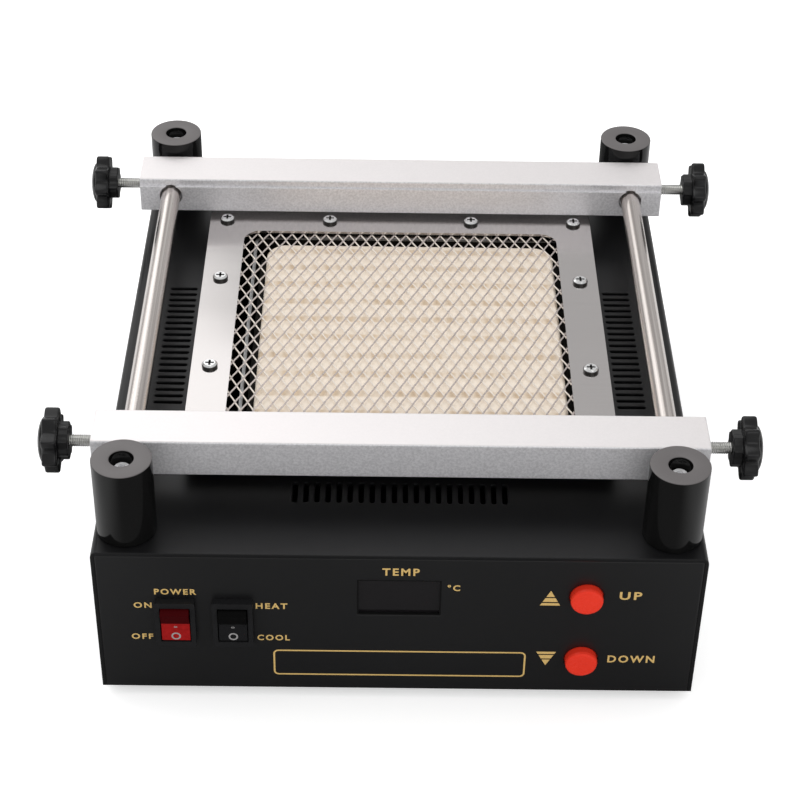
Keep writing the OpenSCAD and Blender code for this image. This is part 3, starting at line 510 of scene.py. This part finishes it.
def expanded(half_x, half_y, bend=2.2, bend_share=0.15):
    """Strand k zigzags along Y: x = (k + 1/2) short way / 2 plus or minus short way / 4 times a triangle wave
    of y / long way, rounded a little by a tanh. A flat section, turned by the tilt, is carried along it. Also
    gives a mark for each point: 1 where the strand runs away to the right and at the bonds, 0 where it runs
    away to the left."""
    strands = np.arange(-math.floor(half_x / (short_way / 2)), math.floor(half_x / (short_way / 2)))
    y = np.arange(-half_y, half_y + 1e-9, long_way / 12)
    wave = 1 - 4 * np.abs((y / long_way) % 1.0 - 0.5)
    wave = np.tanh(bend * wave) / math.tanh(bend) * bend_share + wave * (1 - bend_share)
    sign = np.where(strands % 2 == 0, 1.0, -1.0)
    x = (strands + 0.5)[:, None] * short_way / 2 + short_way / 4 * sign[:, None] * wave[None, :]
    slope = sign[:, None] * np.gradient(wave, y)[None, :] * short_way / 4
    wide = strand_width / 2 * np.sqrt(1 + slope ** 2)
    corners = np.array([[-1, -1], [1, -1], [1, 1], [-1, 1]])
    across = corners[:, 0] * math.cos(strand_tilt) * wide[..., None]
    drop = corners[:, 0] * math.sin(strand_tilt) * strand_width / 2 + corners[:, 1] * strand_depth / 2
    lean = -corners[:, 1] * math.sin(strand_tilt) * strand_depth / 2
    points = np.empty((*x.shape, 4, 3))
    points[..., 0] = x[..., None] + across + lean
    points[..., 1] = y[None, :, None]
    points[..., 2] = drop
    return points, np.repeat((slope > -0.4 * slope.max()).astype(float), 4)


low, high = extents("guard_mesh")
mesh_middle, mesh_half = (low + high) / 2, (high[0] - low[0]) / 2
mesh_steel, shader, place = finish("mesh_steel")
# Painted light and shade: strands marked 1 are darker and metallic, standing in for their shaded side; the
# others are pale and matte, as lit.
painted_shade_strands = place.node("ShaderNodeAttribute", {"attribute_name": "mark"}, out=2)
feed(shader, "Base Color", shade(place, painted_shade_strands.above(0.2, 0.8), (0.80, 0.725, 0.645),
                                 (0.55, 0.485, 0.455)))
feed(shader, "Metallic", painted_shade_strands * 0.6)
feed(shader, "Roughness", noise(place, 900.0, 2.0) * 0.16 + 0.2)
field, strand_shade_marks = expanded(window_half + tuck, window_half + tuck)
field += mesh_middle
inner_half = window_half + margin_gap
grown = mesh_half - inner_half
margin = framed(2 * inner_half, 2 * inner_half, margin_round,
                [(0, -margin_half), (grown, -margin_half), (grown, margin_half), (0, margin_half)])
margin += mesh_middle
guard = piece("guard_mesh_strands", [(strand, False, True) for strand in field] + [(margin, True, True)],
              mesh_steel, "chassis", sharp=25.0, marks=np.concatenate([strand_shade_marks, np.zeros(margin.size // 3)]))
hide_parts("guard_mesh")

# The ceramic emitter: a pressed and fired cream block with round corners. Its face has low waves from front
# to back and a close grid of faint pits.
low, high = extents("ceramic_heater")
emitter_middle, emitter_half = (low + high) / 2, (high[0] - low[0]) / 2
wave_pitch, wave_depth, emitter_round = 12.4 * mm, 0.35 * mm, 8 * mm
pit_pitch, pit_depth, spot_pitch = 2.43 * mm, 0.16 * mm, 5.05 * mm
pits_end, rim_begin, rim_drop = 0.97, 0.985, 0.8 * mm


def emitter_face(half, count, corner):
    """A square grid pushed into a rounded square. The height falls by a raised cosine of y / wave pitch, by
    a narrow dip at each point of the grid of pits, and evenly at the rim."""
    step = np.linspace(-1, 1, count)
    u, v = np.meshgrid(step, step, indexing="ij")
    edge = np.maximum(np.abs(u), np.abs(v))
    flat = half - corner
    x, y = half * u, half * v
    over_x, over_y = np.maximum(np.abs(x) - flat, 0), np.maximum(np.abs(y) - flat, 0)
    reach = np.hypot(over_x, over_y)
    pull = np.where(reach > 1e-9, np.maximum(over_x, over_y) / np.maximum(reach, 1e-9), 1.0)
    both = (over_x > 0) & (over_y > 0)
    x = np.where(both, np.sign(x) * (flat + over_x * pull), x)
    y = np.where(both, np.sign(y) * (flat + over_y * pull), y)
    waves = wave_depth * (0.5 - 0.5 * np.cos(2 * math.pi * y / wave_pitch))
    columns, rows = (0.5 + 0.5 * np.cos(2 * math.pi * way / pit_pitch) for way in (x, y))
    pits = pit_depth * (columns * rows) ** 3 * (edge < pits_end)
    drop = rim_drop * np.clip((edge - rim_begin) / (1 - rim_begin), 0, 1)
    return np.stack([x, y, -waves - pits - drop], -1)


ceramic, shader, place = finish("cream_ceramic", rough=0.85, shine=0.2)
speckle = noise(place, 420.0, 4.0, 0.7)
from_middle = place.along(1) - float(emitter_middle[1])
# Painted shade: tan spots in rows along the valleys of the waves, broken up by noise, stand in for the shade
# there.
rows = place.math("COSINE", from_middle * (2 * math.pi / wave_pitch)).above(-0.3, -0.85)
spots = place.math("COSINE", place.along(0) * (2 * math.pi / spot_pitch)) * 0.35 + 0.65
painted_valley_shade = rows * spots * noise(place, 90.0, 2.0).above(0.25, 0.55)
cream = shade(place, speckle, (0.885, 0.775, 0.65), (0.975, 0.895, 0.795))
feed(shader, "Base Color", shade(place, painted_valley_shade * 0.75, cream, (0.63, 0.48, 0.32)))
bump(shader, speckle, 0.4, 0.12 * mm)
face = emitter_face(emitter_half, 244, emitter_round) + [*emitter_middle[:2], high[2]]
edge_line = np.concatenate([face[:, 0], face[-1, 1:], face[-2::-1, -1], face[0, -2:0:-1]])
foot_line = edge_line * [1, 1, 0] + [0, 0, low[2]]
centre_line = np.repeat(np.array([[*emitter_middle[:2], low[2]]]), len(foot_line), 0)
sides = np.stack([edge_line, foot_line, centre_line])
emitter = piece("ceramic_emitter", [(face, False, False), (sides, False, True)],
                ceramic, "chassis", sharp=60.0)
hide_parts("ceramic_heater")
dress(ceramic, "terminal_block")

# Behind and below the emitter: a pressed pad of mineral fibre, brass pins and contacts, and the moulded
# fan. The pad is coloured near-black as painted shade, so that the gap round the emitter reads dark.
fibre, shader, place = finish("pressed_fibre", rough=0.95, shine=0.1)
# Painted shade: near-black fibre where the gap round the emitter lies in shade.
feed(shader, "Base Color", shade(place, noise(place, 350.0, 3.0), (0.018, 0.017, 0.016),
                                 (0.045, 0.043, 0.04)))
bump(shader, noise(place, 600.0, 4.0), 0.5, 0.2 * mm)
dress(fibre, "insulation_pad")
brass, shader, place = finish("plain_brass", metal=1.0)
mottle(shader, place, (0.72, 0.55, 0.26), 600.0)
feed(shader, "Roughness", noise(place, 800.0, 2.0) * 0.2 + 0.22)
dress(brass, "heater_terminals", "switch_terminals", "inlet_pins", "board_standoffs")
fan_plastic, shader, place = finish("fan_plastic")
mottle(shader, place, (0.022, 0.022, 0.022), 300.0)
feed(shader, "Roughness", noise(place, 400.0, 3.0) * 0.15 + 0.42)
dress(fan_plastic, "fan_frame", "fan_rotor")

# Behind the control panel: a green board with its parts, an extruded heatsink, and a small transformer with
# a laminated core and an enamelled winding.
solder_mask, shader, place = finish("solder_mask", rough=0.3)
tracks = noise(place, 160.0, 4.0).above(0.5, 0.56)
feed(shader, "Base Color", shade(place, tracks, (0.02, 0.16, 0.06), (0.05, 0.25, 0.11)))
dress(solder_mask, "control_board")
moulded_black, shader, place = finish("moulded_black")
mottle(shader, place, (0.03, 0.03, 0.032), 600.0)
feed(shader, "Roughness", noise(place, 900.0, 2.0) * 0.2 + 0.45)
dress(moulded_black, "display_module", "tact_switches", "triac")
extruded, shader, place = finish("extruded_alloy", metal=1.0)
mottle(shader, place, (0.60, 0.61, 0.62), 300.0)
feed(shader, "Roughness", noise(stretched(place, (1500.0, 1500.0, 40.0)), 1.0, 2.0) * 0.2 + 0.25)
dress(extruded, "heatsink")
lamination, shader, place = finish("core_laminations", rough=0.5, metal=1.0)
sheets = noise(stretched(place, (20.0, 1800.0, 20.0)), 1.0, 0.0)
feed(shader, "Base Color", shade(place, sheets, (0.10, 0.10, 0.10), (0.24, 0.24, 0.25)))
dress(lamination, "transformer_core")
winding, shader, place = finish("enamelled_winding", rough=0.35, metal=0.6)
mottle(shader, place, (0.38, 0.14, 0.05), 500.0)
bump(shader, noise(stretched(place, (30.0, 30.0, 2500.0)), 1.0, 0.0), 0.6, 0.2 * mm)
dress(winding, "transformer_coil")

# The display: a smoked pane behind a cut-out in the panel, bedded on a thin black foam seal.
pane, shader, place = finish("smoked_pane", shine=0.55)
mottle(shader, place, (0.008, 0.007, 0.008), 80.0)
feed(shader, "Roughness", noise(place, 120.0, 2.0) * 0.08 + 0.12)
dress(pane, "display_window")
foam, shader, place = finish("seal_foam", rough=0.4, shine=0.12)
mottle(shader, place, (0.007, 0.007, 0.007), 1500.0)
bump(shader, noise(place, 2500.0, 2.0), 0.3, 0.05 * mm)
panel_y = extents("base_pan")[0][1]
pane_lap, seal_width, seal_round = 2 * mm, 0.45 * mm, 0.25 * mm
seal_front, seal_back = 0.05 * mm, 1.15 * mm
low, high = extents("display_window")
cut_width, cut_height = high[0] - low[0] - 2 * pane_lap, high[2] - low[2] - 2 * pane_lap
seal = framed(cut_width, cut_height, seal_round,
              [(0, seal_front), (-seal_width, seal_front), (-seal_width, seal_back), (0, seal_back)], 4)
seal = np.stack([seal[..., 0], panel_y + seal[..., 2], (low[2] + high[2]) / 2 + seal[..., 1]], -1)
gasket = piece("display_seal", [(seal, True, True)], foam, "chassis")

# The push buttons: smooth red caps, moulded in one shade, that stand a little out of the panel.
cap_red, shader, place = finish("cap_red", shine=0.2)
feed(shader, "Roughness", noise(place, 500.0, 2.0) * 0.1 + 0.22)
feed(shader, "Base Color", shade(place, noise(place, 150.0, 3.0), (0.83, 0.036, 0.016),
                                 (0.92, 0.046, 0.020)))
dress(cap_red, "up_button", "down_button")

# The rocker switches: a black moulded housing with a raised bezel, and in it a rocker with its mark
# pad-printed in white. The power rocker is clear red plastic, the other one is black. Each rocker's upper
# half is painted darker, as painted shade under the housing's top lip.
switch_black, shader, place = finish("switch_black", shine=0.2)
mottle(shader, place, (0.013, 0.013, 0.014), 500.0)
feed(shader, "Roughness", noise(place, 1200.0, 2.0) * 0.16 + 0.34)
bump(shader, noise(place, 2600.0, 2.0), 0.15, 0.03 * mm)
dress(switch_black, "power_switch_housing", "mode_switch_housing", "mains_inlet")
rocker_middle = sum(corner.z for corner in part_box("mode_switch_housing")) / 2


def shaded_upper_half(place):
    """1 on a rocker's upper half and 0 on its lower half, with a short fade just above the middle. The
    rockers' colours use it to paint shade on the upper half.
    """
    return place.along(2).above(rocker_middle + 0.7 * mm, rocker_middle + 1.1 * mm)


# Painted shade: each rocker's upper half is coloured darker than its lower half.
rocker_black, shader, place = finish("rocker_black", rough=0.3, shine=0.05)
feed(shader, "Base Color", shade(place, shaded_upper_half(place), (0.013, 0.013, 0.014), (0.002, 0.002, 0.002)))
bump(shader, noise(place, 2600.0, 2.0), 0.15, 0.03 * mm)
dress(rocker_black, "mode_rocker")
rocker_red, shader, place = finish("rocker_red", rough=0.42, shine=0.03)
clear_red = shade(place, noise(place, 700.0, 3.0), (0.24, 0.006, 0.006), (0.42, 0.014, 0.014))
feed(shader, "Base Color", shade(place, shaded_upper_half(place), clear_red, (0.05, 0.001, 0.002)))
dress(rocker_red, "power_rocker")
mark_white, shader, place = finish("mark_white", rough=0.6)
feed(shader, "Base Color", shade(place, noise(place, 2500.0, 2.0), (0.28, 0.27, 0.27), (0.40, 0.385, 0.385)))

# The lower face runs from its top to its end, each given from the pivot line as (y, z), before the tilt.
face_top, face_end = np.array([-2.3, 0.0]) * mm, np.array([-3.6, -7.256]) * mm
tilt, pivot_out, ink = math.radians(10), 0.2 * mm, 0.03 * mm
ring_size, ring_round, ring_line, ring_down = 3.5 * mm, 1.7499 * mm, 0.6 * mm, 5.3 * mm
dash_width, dash_height, dash_round, dash_line, dash_down = 1.2 * mm, 0.7 * mm, 0.25 * mm, 0.2 * mm, 0.7 * mm


def outlined(width, height, radius, line, corner):
    """A flat line of ink round a rounded rectangle, one coat thick."""
    return framed(width, height, radius, [(-line, 0), (0, 0), (0, ink), (-line, ink)], corner)


def on_rocker(flat, distance, pivot):
    """Flat marks (x, up the face, out of the face) laid on the rocker's lower face at a distance down it,
    then turned with it about its pivot line."""
    down = (face_end - face_top) / np.linalg.norm(face_end - face_top)
    out = np.array([down[1], -down[0]])
    spot = face_top + down * distance
    y = spot[0] - flat[..., 1] * down[0] + flat[..., 2] * out[0]
    z = spot[1] - flat[..., 1] * down[1] + flat[..., 2] * out[1]
    return np.stack([flat[..., 0] + pivot[0], pivot[1] + y * math.cos(tilt) - z * math.sin(tilt),
                     pivot[2] + y * math.sin(tilt) + z * math.cos(tilt)], -1)


for switch in ("power", "mode"):
    low, high = extents(switch + "_switch_housing")
    pivot = np.array([(low[0] + high[0]) / 2, panel_y - pivot_out, (low[2] + high[2]) / 2])
    ring = outlined(ring_size, ring_size, ring_round, ring_line, 12)
    dash = outlined(dash_width, dash_height, dash_round, dash_line, 4)
    marks = piece(switch + "_rocker_marks", [(on_rocker(ring, ring_down, pivot), True, True),
                                             (on_rocker(dash, dash_down, pivot), True, True)],
                  mark_white, switch + "_rocker")

# The panel's printing: one pass of gold ink, screened on after painting. It names what the switches and
# buttons do, and draws a plain frame.
gold_ink, shader, place = finish("gold_ink", rough=0.5, shine=0.3)
feed(shader, "Base Color", shade(place, noise(place, 1500.0, 3.0), (0.60, 0.395, 0.12), (0.80, 0.55, 0.21)))
stroke_gain, letter_space = 0.026, 1.28
band_ends, blunt_tip = ((0.0, 0.42), (0.5, 0.76), (0.84, 1.0)), 0.02
print_points, print_faces = [], []


def add_print(points, faces):
    """Takes flat outlines in (x, z, out) and stands them on the panel's face."""
    base = sum(len(p) for p in print_points)
    print_points.append(np.stack([points[:, 0], panel_y - points[:, 2], points[:, 1]], -1))
    print_faces.extend([tuple(int(i) + base for i in f) for f in faces])


def add_word(word, x, z, width, height):
    """A word in the built-in type, thickened and stretched to its printed width and height about (x, z)."""
    type_curve = bpy.data.curves.new("type", "FONT")
    type_curve.body, type_curve.extrude, type_curve.offset = word, 0.01, stroke_gain
    type_curve.space_character, type_curve.resolution_u = letter_space, 3
    holder = bpy.data.objects.new("type", type_curve)
    scene.collection.objects.link(holder)
    mesh = bpy.data.meshes.new_from_object(holder.evaluated_get(bpy.context.evaluated_depsgraph_get()))
    points = np.empty(len(mesh.vertices) * 3)
    mesh.vertices.foreach_get("co", points)
    points = points.reshape(-1, 3)
    small, large = points.min(0), points.max(0)
    points = (points - (small + large) / 2) / (large - small) * [width, height, ink] + [x, z, ink / 2]
    add_print(points, [p.vertices for p in mesh.polygons])
    bpy.data.objects.remove(holder)
    bpy.data.curves.remove(type_curve)
    bpy.data.meshes.remove(mesh)


def add_bands(x, z, width, height, way):
    """A triangle cut into three bands: each band's half width grows evenly from the tip to the base."""
    for start, end in band_ends:
        near, far = max(start, blunt_tip), end
        tip, base = (np.array([s * width / 2, way * height * (0.5 - s)]) for s in (near, far))
        flat = np.array([tip * [-1, 1], tip, base, base * [-1, 1]]) + [x, z]
        points = np.concatenate([np.c_[flat, np.zeros(4)], np.c_[flat, np.full(4, ink)]])
        around = [(i, (i + 1) % 4, (i + 1) % 4 + 4, i + 4) for i in range(4)]
        add_print(points, [(3, 2, 1, 0), (4, 5, 6, 7), *around])


# Each word with its middle (x, z), its width and its height, in millimetres.
for word, x, z, width, height in (("POWER", -81.5, 53.5, 15.3, 2.8), ("ON", -93.7, 46.7, 6.6, 2.8),
                                  ("OFF", -94.7, 30.9, 8.0, 2.8), ("HEAT", -46.6, 46.9, 11.6, 2.8),
                                  ("COOL", -46.2, 30.9, 12.0, 2.8), ("TEMP", 0.5, 64.4, 13.5, 3.5),
                                  ("°C", 19.8, 56.9, 4.6, 3.0), ("UP", 84.4, 53.9, 8.2, 3.9),
                                  ("DOWN", 87.1, 21.7, 17.6, 3.7)):
    add_word(word, x * mm, z * mm, width * mm, height * mm)
arrow_x, arrow_width = 55.2 * mm, 7.4 * mm
add_bands(arrow_x, 52.4 * mm, arrow_width, 7.3 * mm, 1)
add_bands(arrow_x, 21.6 * mm, arrow_width, 7.0 * mm, -1)
border_width, border_height, border_round, border_line = 94.2 * mm, 13.0 * mm, 2.0 * mm, 0.65 * mm
border = outlined(border_width, border_height, border_round, border_line, 6) + [0.6 * mm, 18.2 * mm, 0]
add_print(border.reshape(-1, 3), quads(border, True, True))
print_mesh = bpy.data.meshes.new("panel_printing")
print_mesh.from_pydata(np.concatenate(print_points), [], print_faces)
weld(print_mesh)
print_mesh.materials.append(gold_ink)
printing = bpy.data.objects.new("panel_printing", print_mesh)
scene.collection.objects.link(printing)
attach(printing, "chassis")
